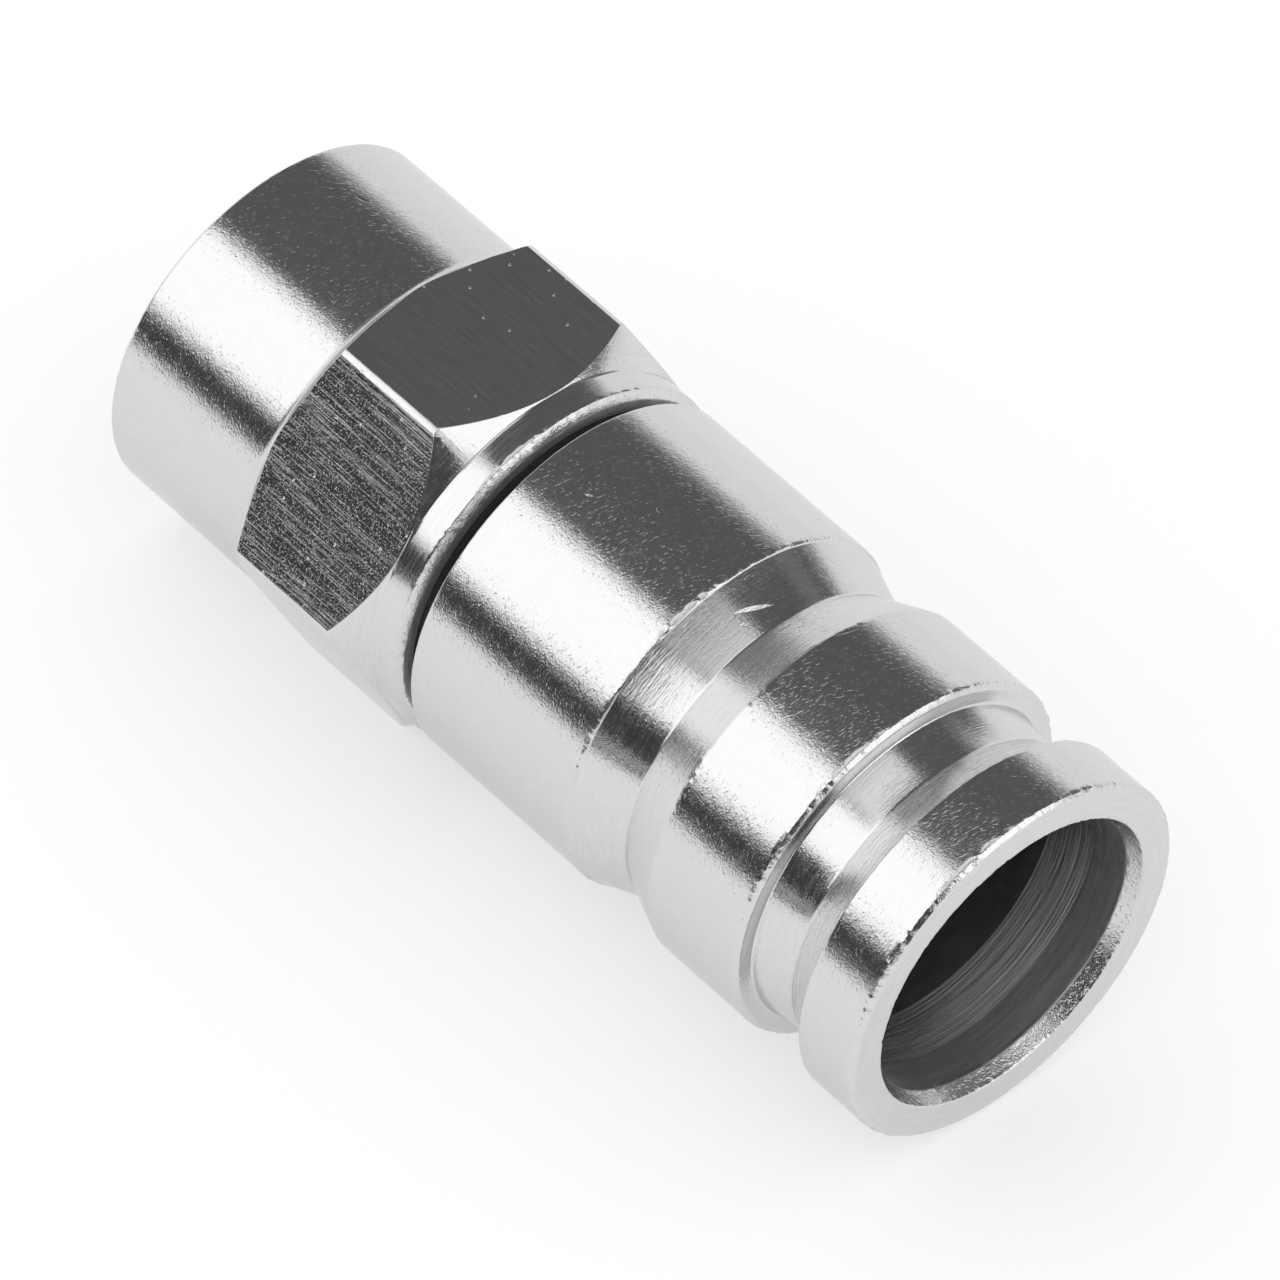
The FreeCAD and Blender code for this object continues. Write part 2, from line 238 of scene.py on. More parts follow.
PROPERTY_GROUPS = {
    "connector_nut": NutSizes,
    "connector_body": BodySizes,
    "connector_post": PostSizes,
    "connector_finish": FinishSettings,
    "connector_stage": StageSettings,
}


# Half sections

GUARD_REACHES = (0.08 * MM, 0.16 * MM)
SHORTEST_GUARDED = 0.3 * MM
WELD = 0.00005 * MM


class Corner:
    """A corner of a half section: its station and radius, the finish that follows it, how soft it is in
    millimetres, how much of a burr it has, and the steps of its rounding."""

    def __init__(self, station, radius, finish=None, soft=None, burr=0.0, steps=2):
        self.place = Vector((station, radius))
        self.finish = finish
        self.soft = soft
        self.burr = burr
        self.steps = steps


def corners_of(finish, *places):
    """Plain corners that all have one finish."""
    return [Corner(station, radius, finish) for station, radius in places]


def jag(turn, seed, fineness):
    """Uneven height of a rim at the angle turn, about -1 to 1 and the same at every run."""
    ring = Vector((math.cos(turn), math.sin(turn), 0.0))
    return noise.noise(ring * fineness + Vector((0.0, 0.0, seed)))


def guards(corner, neighbour):
    """Clean points on a long surface beside a burr, so that the burr doesn't bend the whole surface."""
    edge = neighbour - corner
    if edge.length < SHORTEST_GUARDED:
        return []
    places = [corner + edge.normalized() * reach for reach in GUARD_REACHES]
    return [Corner(place.x, place.y, soft=0.0) for place in places]


def roughen(corners, turn, burr):
    """Shift each corner that has a burr by an uneven amount, with clean points on either side of it."""
    result = []
    clean = [corner.place.copy() for corner in corners]
    for index, corner in enumerate(corners):
        before, after = [], []
        if corner.burr:
            seed = 7.3 * index
            slow = 0.5 + 0.5 * jag(turn, seed + 40.0, fineness=4.0)
            lift = jag(turn, seed, fineness=19.0) + 0.7 * jag(turn, seed + 20.0, fineness=53.0)
            shift = jag(turn, seed + 60.0, fineness=31.0)
            corner.place += Vector((0.6 * shift, max(lift - 0.35, -0.5))) * (corner.burr * burr) * slow
            before, after = (guards(clean[index], clean[other])
                             for other in (index - 1, (index + 1) % len(corners)))
        result += before[::-1] + [corner] + after
    return result


def trace(corners, default_soft):
    """The points of a closed half section with its corners softened, and the finish after each point."""
    points = []
    finishes = []
    finish = corners[-1].finish
    for index, corner in enumerate(corners):
        finish = corner.finish or finish
        soft = default_soft if corner.soft is None else corner.soft * MM
        if soft == 0.0:
            points.append(corner.place.copy())
            finishes.append(finish)
            continue
        before = corners[index - 1].place - corner.place
        after = corners[(index + 1) % len(corners)].place - corner.place
        reach = min(soft, 0.45 * before.length, 0.45 * after.length)
        start = corner.place + before.normalized() * reach
        end = corner.place + after.normalized() * reach
        for step in range(corner.steps + 1):
            part = step / corner.steps
            points.append((1 - part) ** 2 * start + 2 * part * (1 - part) * corner.place + part ** 2 * end)
            finishes.append(finish)
    return points, finishes


def ring_point(place, turn):
    """A half section's (station, radius) point, turned about the axis."""
    return (MATING_FACE_X + place.x, place.y * math.cos(turn), AXIS_HEIGHT + place.y * math.sin(turn))


def even_turns(count):
    return [math.tau * index / count for index in range(count)]


def turned_mesh(name, turns, section_at, finishes, finish_at=None):
    """A closed piece from the half section at each turn. section_at returns points and their finishes."""
    vertices = []
    faces = []
    face_finishes = []
    turns = turns + [turns[0] + math.tau]
    for turn in turns:
        points, tags = section_at(turn)
        vertices.extend(ring_point(place, turn) for place in points)
    rows = len(points)
    for column in range(len(turns) - 1):
        here = column * rows
        there = here + rows
        for row in range(rows):
            following = (row + 1) % rows
            faces.append((here + row, here + following, there + following, there + row))
            tag = tags[row]
            if finish_at:
                tag = finish_at(tag, (turns[column] + turns[column + 1]) / 2)
            face_finishes.append(list(finishes).index(tag))
    mesh = bpy.data.meshes.new(name)
    mesh.from_pydata(vertices, [], faces)
    mesh.polygons.foreach_set("material_index", face_finishes)
    for material in finishes.values():
        mesh.materials.append(material)
    clean_mesh(mesh)
    return mesh


def clean_mesh(mesh):
    """Close the seam, drop faces of no area, and turn all faces outwards and smooth."""
    work = bmesh.new()
    work.from_mesh(mesh)
    bmesh.ops.remove_doubles(work, verts=work.verts, dist=WELD)
    bmesh.ops.dissolve_degenerate(work, edges=work.edges, dist=WELD)
    bmesh.ops.recalc_face_normals(work, faces=work.faces)
    for face in work.faces:
        face.smooth = True
    work.to_mesh(mesh)
    work.free()
    mesh.update()


def link_new(name, data):
    """A new object in the scene."""
    piece = bpy.data.objects.new(name, data)
    bpy.context.scene.collection.objects.link(piece)
    return piece


def add_piece(mesh, node, body):
    """Put a finished piece in the scene in place of its plain solid."""
    piece = link_new(mesh.name, mesh)
    shading = piece.modifiers.new("even_shading", "WEIGHTED_NORMAL")
    shading.weight = 100
    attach(piece, body)
    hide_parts(node)


# Node helpers

class Nodes:
    """Adds and joins the nodes of one tree."""

    def __init__(self, tree):
        self.tree = tree

    def add(self, kind, settings=None, **inputs):
        node = self.tree.nodes.new(kind)
        for name, value in (settings or {}).items():
            setattr(node, name, value)
        for name, value in inputs.items():
            self.feed(node.inputs[name.replace("_", " ")], value)
        return node

    def feed(self, socket, value):
        if isinstance(value, bpy.types.NodeSocket):
            self.tree.links.new(value, socket)
        else:
            socket.default_value = value

    def math(self, operation, first, second=0.0, clamp=False):
        node = self.add("ShaderNodeMath", {"operation": operation, "use_clamp": clamp})
        for socket, value in zip(node.inputs, (first, second)):
            self.feed(socket, value)
        return node.outputs[0]

    def times(self, first, second):
        return self.math("MULTIPLY", first, second)

    def plus(self, first, second):
        return self.math("ADD", first, second)

    def vector(self, x, y, z):
        return self.add("ShaderNodeCombineXYZ", X=x, Y=y, Z=z).outputs[0]

    def vector_math(self, operation, first, second):
        node = self.add("ShaderNodeVectorMath", {"operation": operation})
        for socket, value in zip(node.inputs, (first, second)):
            self.feed(socket, value)
        return node.outputs["Value" if operation == "DOT_PRODUCT" else "Vector"]

    def ramp(self, value, low, high, to_low=0.0, to_high=1.0):
        """Smooth step from to_low at low to to_high at high."""
        node = self.add("ShaderNodeMapRange", {"interpolation_type": "SMOOTHSTEP"}, Value=value, From_Min=low,
                        From_Max=high, To_Min=to_low, To_Max=to_high)
        return node.outputs[0]

    def noise(self, vector, scale, detail=2.0, roughness=0.5, turn=None):
        node = self.add("ShaderNodeTexNoise", {"noise_dimensions": "3D" if turn is None else "4D"},
                        Vector=vector, Scale=scale, Detail=detail, Roughness=roughness)
        if turn is not None:
            self.feed(node.inputs["W"], turn)
        return node.outputs["Fac"]


def shared_group(name, inputs, outputs, build):
    """A shader node group made once, from its inputs with their defaults and the names of its outputs."""
    group = bpy.data.node_groups.get(name)
    if group:
        return group
    group = bpy.data.node_groups.new(name, "ShaderNodeTree")
    for label, default in inputs.items():
        kind = "NodeSocketVector" if isinstance(default, tuple) else "NodeSocketFloat"
        socket = group.interface.new_socket(name=label, in_out="INPUT", socket_type=kind)
        socket.default_value = default
    for label in outputs:
        group.interface.new_socket(name=label, in_out="OUTPUT", socket_type="NodeSocketFloat")
    given = group.nodes.new("NodeGroupInput")
    results = build(Nodes(group), given.outputs)
    out = group.nodes.new("NodeGroupOutput")
    for label, socket in zip(outputs, results):
        group.links.new(socket, out.inputs[label])
    return group


def place_in_millimetres(nodes):
    """The point on the piece in millimetres, measured from the connector's axis."""
    where = nodes.add("ShaderNodeTexCoord").outputs["Object"]
    from_axis = nodes.vector_math("SUBTRACT", where, (MATING_FACE_X, 0.0, AXIS_HEIGHT))
    return nodes.vector_math("MULTIPLY", from_axis, (1 / MM, 1 / MM, 1 / MM))


def round_the_axis(nodes):
    """Station, radius, and the two parts of the unit direction away from the axis."""
    parts = nodes.add("ShaderNodeSeparateXYZ")
    nodes.feed(parts.inputs[0], place_in_millimetres(nodes))
    across, up = parts.outputs["Y"], parts.outputs["Z"]
    radius = nodes.math("SQRT", nodes.plus(nodes.math("POWER", across, 2.0), nodes.math("POWER", up, 2.0)))
    return parts.outputs["X"], radius, nodes.math("DIVIDE", across, radius), nodes.math("DIVIDE", up, radius)


def spots(nodes, place, rate, channel, rarity, size):
    """Round spots in some cells of a pattern. rarity and size are where their smooth steps begin and end."""
    cells = nodes.add("ShaderNodeTexVoronoi", Vector=place, Scale=rate)
    draw = nodes.add("ShaderNodeSeparateColor", Color=cells.outputs["Color"]).outputs[channel]
    chosen = nodes.ramp(draw, *rarity)
    return nodes.times(nodes.ramp(cells.outputs["Distance"], *size, 1.0, 0.0), chosen)


def build_tumbled_skin(nodes, given):
    """Fine grain, short strokes, a few pits and dull specks, of plated parts that were tumbled together."""
    place = place_in_millimetres(nodes)
    rate = nodes.math("DIVIDE", 1.0, given["Grain Size"])
    grain = nodes.noise(place, rate, detail=2.0, roughness=0.6)
    broad = nodes.noise(place, nodes.times(rate, 0.13), detail=2.0, roughness=0.5)
    lean = nodes.add("ShaderNodeVectorRotate", {"rotation_type": "EULER_XYZ"}, Vector=place,
                     Rotation=(0.5, 0.25, 0.6)).outputs[0]
    drawn_out = nodes.vector_math("MULTIPLY", lean, (1.0, 0.32, 0.38))
    strokes = nodes.ramp(nodes.noise(drawn_out, rate, detail=1.0, roughness=0.5), low=0.56, high=0.74)
    specks = spots(nodes, place, nodes.times(rate, 0.45), 1, rarity=(0.88, 0.96), size=(0.10, 0.24))
    wear = nodes.math("MAXIMUM", nodes.times(strokes, 0.38), specks)
    pits = spots(nodes, place, nodes.times(rate, 0.22), 0, rarity=(0.86, 0.90), size=(0.08, 0.20))
    height = nodes.plus(grain, nodes.times(strokes, given["Strokes"]))
    height = nodes.plus(height, nodes.times(broad, given["Waves"]))
    height = nodes.math("SUBTRACT", height, nodes.times(pits, given["Pits"]))
    return nodes.times(height, given["Height"]), broad, wear


def build_turning_marks(nodes, given):
    """Rings that a cutting tool leaves round the axis, on cylinders, cones and faces alike."""
    station, radius, across, up = round_the_axis(nodes)
    rate = given["Marks per Millimetre"]
    wander = given["Wander"]
    vector = nodes.vector(nodes.times(station, rate), nodes.times(radius, rate), nodes.times(across, wander))
    marks = nodes.noise(vector, 1.0, detail=3.0, roughness=0.65, turn=nodes.times(up, wander))
    return nodes.times(marks, given["Height"]), nodes.ramp(marks, low=0.35, high=0.65)


def build_milled_grain(nodes, given):
    """Fine lines along the axis and lone specks between them, on a smooth ground."""
    place = place_in_millimetres(nodes)
    along_rate = nodes.math("DIVIDE", 1.0, given["Grain Length"])
    across_rate = nodes.math("DIVIDE", 1.0, given["Grain Width"])
    stretched = nodes.vector_math("MULTIPLY", place, nodes.vector(along_rate, across_rate, across_rate))
    streaks = nodes.noise(stretched, 1.0, detail=2.0, roughness=0.55)
    lines = nodes.ramp(streaks, low=0.52, high=0.70)
    grains = nodes.noise(place, nodes.times(across_rate, 0.8), detail=1.0, roughness=0.6)
    specks = nodes.ramp(grains, low=0.60, high=0.72)
    mixed = nodes.plus(lines, nodes.times(specks, given["Specks"]))
    return nodes.times(mixed, given["Height"]), nodes.ramp(streaks, low=0.3, high=0.7)


def build_nick(nodes, given):
    """One short dent at a point, along a direction, with a long flat side and a steep side."""
    offset = nodes.vector_math("SUBTRACT", place_in_millimetres(nodes), given["Centre"])
    along = nodes.vector_math("DOT_PRODUCT", offset, given["Direction"])
    across = nodes.vector_math("DOT_PRODUCT", offset, given["Across"])
    ends = nodes.math("ABSOLUTE", nodes.math("DIVIDE", along, nodes.times(given["Length"], 0.5)))
    narrowing = nodes.math("SUBTRACT", 1.0, nodes.math("POWER", ends, 2.0), clamp=True)
    half_width = nodes.times(given["Width"], nodes.math("MAXIMUM", narrowing, 0.05))
    across = nodes.math("DIVIDE", across, half_width)
    long_side = nodes.math("DIVIDE", nodes.plus(across, 1.0), 1.7, clamp=True)
    steep_side = nodes.ramp(across, 0.7, 1.0, 1.0, 0.0)
    depth = nodes.times(nodes.times(long_side, steep_side), narrowing)
    return (nodes.times(depth, nodes.times(given["Depth"], -1.0)),)


GROUPS = {
    "Tumbled Skin": ({"Grain Size": 0.055, "Height": 0.004, "Strokes": 0.6, "Waves": 0.8, "Pits": 0.5},
                     ["Height", "Broad", "Wear"], build_tumbled_skin),
    "Turning Marks": ({"Marks per Millimetre": 14.0, "Wander": 3.0, "Height": 0.010}, ["Height", "Streaks"],
                      build_turning_marks),
    "Milled Grain": ({"Grain Length": 0.7, "Grain Width": 0.05, "Specks": 1.0, "Height": 0.003},
                     ["Height", "Streaks"], build_milled_grain),
    "Nick": ({"Centre": (0.0, 0.0, 0.0), "Direction": (1.0, 0.0, 0.0), "Across": (0.0, 1.0, 0.0),
              "Length": 0.8, "Width": 0.05, "Depth": 0.01}, ["Height"], build_nick),
}


def use_group(nodes, name, **inputs):
    """Place a shared group in a tree with its own values."""
    group = shared_group(name, *GROUPS[name])
    node = nodes.add("ShaderNodeGroup", {"node_tree": group})
    for label, value in inputs.items():
        nodes.feed(node.inputs[label.replace("_", " ")], value)
    return node


def new_material(name, kind="ShaderNodeBsdfPrincipled"):
    """An empty material with one shader on its output."""
    material = bpy.data.materials.new(name)
    material.use_nodes = True
    material.node_tree.nodes.clear()
    nodes = Nodes(material.node_tree)
    shader = nodes.add(kind)
    nodes.add("ShaderNodeOutputMaterial", Surface=shader.outputs[0])
    return material, nodes, shader


def colour_and_blur(nodes, shader, mask, tones, blurs):
    """Vary the colour between two tones, and the roughness between two blurs, by a mask."""
    tint = nodes.add("ShaderNodeMix", {"data_type": "RGBA"})
    for label, value in (("Factor", mask), ("A", (*tones[0], 1.0)), ("B", (*tones[1], 1.0))):
        nodes.feed(tint.inputs[label], value)
    nodes.feed(shader.inputs["Base Color"], tint.outputs["Result"])
    nodes.feed(shader.inputs["Roughness"], nodes.ramp(mask, 0.2, 0.8, *blurs))


def raise_bumps(nodes, shader, heights):
    """The summed heights, in millimetres, as bump."""
    total = heights[0]
    for height in heights[1:]:
        total = nodes.plus(total, height)
    bump = nodes.add("ShaderNodeBump", Strength=1.0, Distance=MM, Height=total)
    nodes.feed(shader.inputs["Normal"], bump.outputs[0])


def plate(nodes, shader, finish, heights, roughness, variation, spread, wear=None, shade=1.0):
    """Finish a nickel surface: colour and blur varied by a mask, colour darkened as painted shade where the
    shade factor is under 1, dull wear, and bumps.
    """
    tones = [[channel * depth * shade for channel in finish.nickel] for depth in (0.94, 1.0)]
    colour_and_blur(nodes, shader, variation, tones, (roughness - spread, roughness + spread))
    shader.inputs["Metallic"].default_value = 1.0
    if wear:
        dull = nodes.times(wear, finish.wear)
        nodes.feed(shader.inputs["Metallic"], nodes.math("SUBTRACT", 1.0, dull))
    edge = finish.edge_tint
    shader.inputs["Specular Tint"].default_value = (edge, edge, edge, 1.0)
    raise_bumps(nodes, shader, heights)


def cut_nicks(nodes, nicks):
    """The height of each nick."""
    return [use_group(nodes, "Nick", **settings).outputs["Height"] for settings in nicks]


LEAST_WORN_SKIN = 0.3


def turned_nickel(name, finish, rate=13.0, wander=7.0, marks_share=1.0, skin_share=0.7, roughness=None,
                  shade=1.0, nicks=(), tumbled=False):
    """Plating over a turned surface that shows its tool marks, or that was tumbled smooth: fine grain, short
    strokes and pits. A shade factor under 1 darkens its colour: painted shade of a deep, shadowed hole."""
    material, nodes, shader = new_material(f"{name}_plating")
    skin = use_group(nodes, "Tumbled Skin", Height=skin_share * finish.skin_height / MM,
                     Waves=1.2 if tumbled else 0.8)
    marks = use_group(nodes, "Turning Marks", Marks_per_Millimetre=rate, Wander=wander,
                      Height=marks_share * finish.mark_height / MM)
    heights = [skin.outputs["Height"], marks.outputs["Height"]] + cut_nicks(nodes, nicks)
    variation, spread = (skin.outputs["Broad"], 0.02) if tumbled else (marks.outputs["Streaks"], 0.03)
    plate(nodes, shader, finish, heights, roughness or finish.turned_roughness, variation, spread,
          skin.outputs["Wear"] if skin_share > LEAST_WORN_SKIN else None, shade)
    return material


def tumbled_nickel(name, finish, skin_share=1.0, nicks=()):
    return turned_nickel(name, finish, 15.0, 22.0, 0.4, skin_share, finish.plating_roughness, nicks=nicks,
                         tumbled=True)


def milled_nickel(name, finish, height, specks, reach, width):
    """Plating over a milled flat with grain along the axis."""
    material, nodes, shader = new_material(name)
    grain = use_group(nodes, "Milled Grain", Grain_Length=reach, Grain_Width=width, Specks=specks,
                      Height=height / MM)
    skin = use_group(nodes, "Tumbled Skin", Height=0.15 * finish.skin_height / MM, Waves=0.4, Pits=18.0)
    plate(nodes, shader, finish, [grain.outputs["Height"], skin.outputs["Height"]], finish.milled_roughness,
          grain.outputs["Streaks"], 0.03, nodes.times(grain.outputs["Streaks"], 0.1))
    return material


def moulded_rubber(name, finish):
    """Matt black rubber with a fine uneven skin."""
    material, nodes, shader = new_material(name)
    skin = use_group(nodes, "Tumbled Skin", Grain_Size=0.09, Height=0.002, Strokes=0.0, Waves=1.0, Pits=1.0)
    tones = [[channel * level for channel in finish.rubber] for level in (0.6, 1.4)]
    colour_and_blur(nodes, shader, skin.outputs["Broad"], tones, (0.5, 0.68))
    raise_bumps(nodes, shader, [skin.outputs["Height"]])
    return material


TURN_TO_CAMERA = 125.2


def nick(station, turn_from_camera, radius, lean, reach, width, depth):
    """Where a nick is on a round surface, which way it runs, and its size, all in millimetres and degrees."""
    turn = math.radians(TURN_TO_CAMERA + turn_from_camera)
    lean = math.radians(lean)
    along = Vector((1.0, 0.0, 0.0))
    around = Vector((0.0, -math.sin(turn), math.cos(turn)))
    return {"Centre": Vector((station, radius * math.cos(turn), radius * math.sin(turn))),
            "Direction": along * math.cos(lean) + around * math.sin(lean),
            "Across": around * math.cos(lean) - along * math.sin(lean),
            "Length": reach, "Width": width, "Depth": depth}


SKIRT_NICKS = (nick(2.05, -44.5, 5.43, -22, 0.50, 0.07, 0.025),)
BODY_NICKS = (nick(14.95, -30.0, 5.45, 20, 0.22, 0.05, 0.015),
              nick(20.90, -40.0, 5.45, -78, 0.75, 0.06, 0.022),
              nick(13.40, -20.0, 5.45, -30, 0.20, 0.04, 0.012))
NECK_NICKS = (nick(18.66, -28.5, 5.08, -70, 1.10, 0.07, 0.030),
              nick(18.86, -23.5, 5.00, -60, 0.34, 0.05, 0.020))


# Coupling nut

def soft_min(first, second, blend):
    """The smaller of two sizes, with the change from one to the other rounded over blend."""
    gap = max(blend - abs(first - second), 0.0) / blend
    return min(first, second) - gap * gap * blend / 4


def flat_lean(turn):
    """The angle from the middle of the nearest flat."""
    return (turn - FIRST_FLAT_ANGLE + SIXTH / 2) % SIXTH - SIXTH / 2


def nut_turns(size, outer):
    """Column angles: even on each flat, with extra columns where a flat meets the turned corner."""
    half = math.pi / HEXAGON_SIDES
    meeting = math.acos(size.across_flats / 2 / outer)
    near = math.radians(0.22)
    inside = meeting - near
    count = size.columns_per_flat
    leans = [-inside + 2 * inside * index / count for index in range(count + 1)]
    close = [meeting - 0.3 * near, meeting + 0.3 * near, meeting + near]
    leans = [-lean for lean in reversed(close)] + leans + close
    leans.append(half)
    return [FIRST_FLAT_ANGLE + math.tau * flat / HEXAGON_SIDES + lean
            for flat in range(HEXAGON_SIDES) for lean in leans]


def root_curve(size, skirt, outer):
    """Corners up the tool radius and the front chamfer, from the skirt to the radius outer."""
    count = 12
    turn = math.pi / 2 - size.front_angle
    setback = size.root_radius * math.tan(turn / 2)
    arc_rise = size.root_radius * (1 - math.cos(turn))
    arc_turn = turn
    cone = (outer - skirt - arc_rise) / math.sin(turn)
    if cone < 0.0:
        arc_turn = math.acos(1 - (outer - skirt) / size.root_radius)
        cone = 0.0
    arc_length = size.root_radius * arc_turn
    corners = []
    for index in range(count + 1):
        along = (arc_length + cone) * index / count
        bend = min(along, arc_length) / size.root_radius
        rest = max(along - arc_length, 0.0)
        station = size.skirt_length - setback + size.root_radius * math.sin(bend) + rest * math.cos(bend)
        radius = skirt + size.root_radius * (1 - math.cos(bend)) + rest * math.sin(bend)
        corners.append(Corner(station, radius, "skirt", soft=0.0))
    return corners


def thread_radius(size, phase):
    """Radius of the thread at a phase from 0 to 1 along one pitch: crest, flank, root, flank."""
    crest, root = 0.16, 0.14
    flank = (1 - crest - root) / 2
    if phase < crest:
        depth = 0.0
    elif phase < crest + flank:
        depth = size.thread_depth * (phase - crest) / flank
    elif phase < crest + flank + root:
        depth = size.thread_depth
    else:
        depth = size.thread_depth * (1 - phase) / flank
    return BORE + depth


def thread_corners(size, turn):
    """The bore of the thread from its end to the countersink, one column of a right-hand helix."""
    phases = (0.0, 0.08, 0.16, 0.275, 0.39, 0.51, 0.58, 0.65, 0.77, 0.885)
    last_lap = int(size.thread_end / size.thread_pitch) + 1
    corners = []
    for lap in range(last_lap, -2, -1):
        for phase in reversed(phases):
            along = (lap - 1 + phase + turn / math.tau) * size.thread_pitch
            radius = max(thread_radius(size, phase), BORE + size.countersink - along)
            if along >= size.thread_end:
                along, radius = size.thread_end, size.undercut_radius
            elif along <= 0.0:
                along, radius = 0.0, BORE + size.countersink
            corners.append(Corner(along, radius, "thread", soft=0.0))
    return corners


def turned_corner_radius(size):
    return size.across_flats / 2 / math.cos(math.pi / HEXAGON_SIDES) - size.corner_break


def nut_section(size, finish, turn):
    """The nut's half section at one angle."""
    skirt = BORE + size.skirt_wall
    outer = soft_min(size.across_flats / 2 / math.cos(flat_lean(turn)), turned_corner_radius(size), 0.02 * MM)
    collar_start = size.skirt_length + size.hex_length
    nut_end = collar_start + size.collar_length
    chamfer = size.collar_chamfer
    *rise, front = root_curve(size, skirt, outer)
    corners = [
        Corner(0.0, skirt - size.skirt_edge, "skirt", burr=1.0),
        Corner(size.skirt_edge, skirt, "skirt", burr=0.35),
        Corner(size.skirt_length - size.root_radius, skirt, "skirt", soft=0.0),
        *rise,
        Corner(front.place.x, front.place.y, "flat", soft=0.03, burr=0.35),
        Corner(collar_start - (outer - size.collar_radius), outer, "rear_cone", soft=0.025),
        Corner(collar_start, size.collar_radius, "collar", soft=0.05, steps=3),
        Corner(nut_end - chamfer, size.collar_radius, "chamfer", burr=1.6),
        Corner(nut_end, size.collar_radius - 1.5 * chamfer, "rear_face", burr=2.0),
        *corners_of("bore", (nut_end, size.counterbore_radius), (size.lip_end, size.counterbore_radius),
                    (size.lip_end, size.lip_radius), (size.lip_front, size.lip_radius),
                    (size.lip_front, size.undercut_radius)),
        *thread_corners(size, turn),
    ]
    return trace(roughen(corners, turn, finish.burr), finish.edge)


def nut_finish(tag, turn):
    """Every other flat has a coarse grain."""
    if tag != "flat":
        return tag
    flat = round((turn - FIRST_FLAT_ANGLE) / SIXTH)
    return "coarse_flat" if flat % 2 else "fine_flat"


class CONNECTOR_OT_coupling_nut(bpy.types.Operator):
    """Coupling nut with its threaded bore, long skirt, hexagon and collar."""

    bl_idname = "connector.coupling_nut"
    bl_label = "Coupling Nut"

    def execute(self, context):
        size = context.scene.connector_nut
        finish = context.scene.connector_finish
        finishes = {
            "skirt": tumbled_nickel("nut", finish, nicks=SKIRT_NICKS),
            "fine_flat": milled_nickel("fine_flat", finish, 0.18 * finish.grain_height, specks=0.4, reach=1.0,
                                       width=0.03),
            "coarse_flat": milled_nickel("coarse_flat", finish, finish.grain_height, specks=2.2, reach=2.2,
                                         width=0.036),
            "rear_cone": turned_nickel("nut_cone", finish, marks_share=0.5),
            "collar": turned_nickel("nut_collar", finish, marks_share=0.35, skin_share=0.3),
            "chamfer": tumbled_nickel("nut_chamfer", finish, 2.6),
            "rear_face": turned_nickel("nut_face", finish, roughness=0.6),
            "bore": turned_nickel("nut_bore", finish, rate=8.0, marks_share=0.6),
            "thread": turned_nickel("thread", finish, rate=6.0, marks_share=0.2),
        }
        mesh = turned_mesh("coupling_nut_finished", nut_turns(size, turned_corner_radius(size)),
                           lambda turn: nut_section(size, finish, turn), finishes, nut_finish)
        add_piece(mesh, "coupling_nut", "nut")
        return {"FINISHED"}


# Connector body

def body_section(size, finish, turn):
    """The body's half section at one angle."""
    front_chamfer = 0.06 * MM
    rear_chamfer = 0.12 * MM
    corners = [
        *corners_of("bore", (size.nose_start, size.shank_radius), (size.nose_start, size.nose_radius)),
        Corner(size.barrel_start, size.nose_radius, "face", soft=0.04),
        Corner(size.barrel_start, size.radius - front_chamfer, "rim", burr=0.4),
        Corner(size.barrel_start + front_chamfer, size.radius, "barrel", burr=0.3),
        Corner(size.barrel_end - 0.05 * MM, size.radius, "rim", burr=2.0),
        Corner(size.barrel_end, size.neck_front + 0.03 * MM, "rim", soft=0.01, burr=0.5),
        Corner(size.barrel_end + 0.01 * MM, size.neck_front, "neck", soft=0.02),
        Corner(size.neck_end, size.neck_rear, "shoulder", soft=0.06, steps=4),
        Corner(size.second_start, size.radius, "barrel", soft=0.04, burr=0.8),
        Corner(size.second_end - rear_chamfer, size.radius, "rim", burr=1.8),
        Corner(size.second_end, size.radius - 0.13 * MM, "face", burr=0.8),
        Corner(size.second_end, size.groove_front, "groove", soft=0.06),
        Corner(size.groove_end, size.groove_rear, "ramp", soft=0.05),
        Corner(size.flange_start, size.ramp_radius, "face", soft=0.05),
        Corner(size.flange_start, size.radius, "barrel", soft=0.03, burr=0.5),
        Corner(size.rear_face - rear_chamfer, size.radius, "rim", burr=2.0),
        Corner(size.rear_face, size.radius - rear_chamfer, "face", burr=1.2),
        Corner(size.rear_face, size.lead_in_radius, "lead_in", soft=0.05, burr=1.3),
        Corner(size.mouth_end, size.mouth_radius, "mouth", soft=0.03, burr=0.9),
        Corner(size.mouth_start, size.mouth_radius, "mouth_cone", soft=0.04),
        *corners_of("bore", (size.cone_start, size.cable_radius), (size.relief_end, size.cable_radius),
                    (size.relief_end, size.relief_radius), (size.relief_start, size.relief_radius),
                    (size.relief_start, size.cable_radius), (size.web_end, size.cable_radius),
                    (size.web_end, size.shank_radius)),
    ]
    return trace(roughen(corners, turn, finish.burr), finish.edge)


